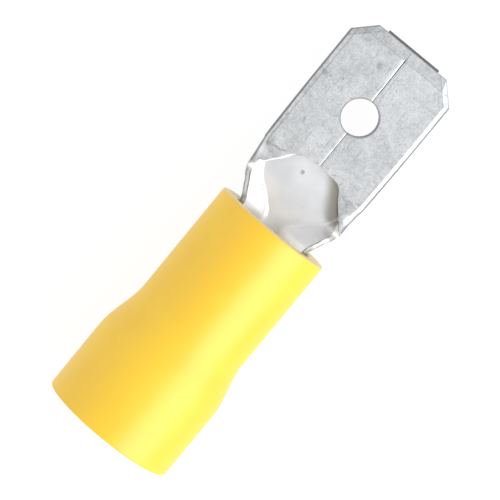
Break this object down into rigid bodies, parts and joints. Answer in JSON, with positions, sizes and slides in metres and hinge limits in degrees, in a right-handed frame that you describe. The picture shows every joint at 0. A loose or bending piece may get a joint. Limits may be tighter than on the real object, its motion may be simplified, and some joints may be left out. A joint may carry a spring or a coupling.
{
  "type": "insulated male spade terminal",
  "caption": "Male spade terminal folded from sheet metal, with a detent hole in its flat tab and a stepped yellow insulating sleeve over its wire barrel.",
  "frame": {"origin": "centre of the detent hole, half way through the tab's thickness", "axes": "+X along the tab towards its tip, +Y across the tab, +Z square to the tab, out of the face with the folding seam"},
  "size_m": [0.0242, 0.0072, 0.0073],
  "materials": {
    "tinned_brass": "matte tin plating over brass, finely mottled with light scratches",
    "yellow_pvc": "smooth soft vinyl with a low sheen"
  },
  "bodies": {
    "root": {"terminal": "tinned_brass", "sleeve": "yellow_pvc"}
  },
  "joints": []
}
